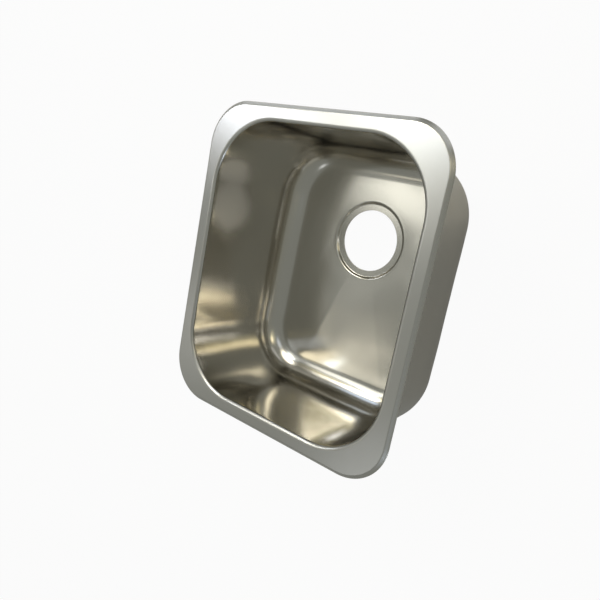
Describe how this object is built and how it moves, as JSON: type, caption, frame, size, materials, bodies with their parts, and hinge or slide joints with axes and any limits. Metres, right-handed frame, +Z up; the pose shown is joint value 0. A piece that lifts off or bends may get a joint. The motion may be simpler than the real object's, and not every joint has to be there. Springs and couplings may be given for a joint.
{
  "type": "undermount kitchen sink",
  "caption": "Undermount kitchen sink: a rounded rectangular pressed steel bowl with a flat flange, turned-down edge and recessed drain hole, and sound pads under it.",
  "frame": {"origin": "centre of the rim's top face, where the worktop's underside lies", "axes": "+X to the right, +Y towards the drain end, +Z up out of the bowl"},
  "size_m": [0.366, 0.426, 0.1792],
  "materials": {
    "satin_steel": "satin brushed stainless steel",
    "sound_pad": "matt filled rubber sheet"
  },
  "bodies": {
    "root": {"bowl": "satin_steel", "base_pad": "sound_pad", "front_wall_pad": "sound_pad", "rear_wall_pad": "sound_pad"}
  },
  "joints": []
}
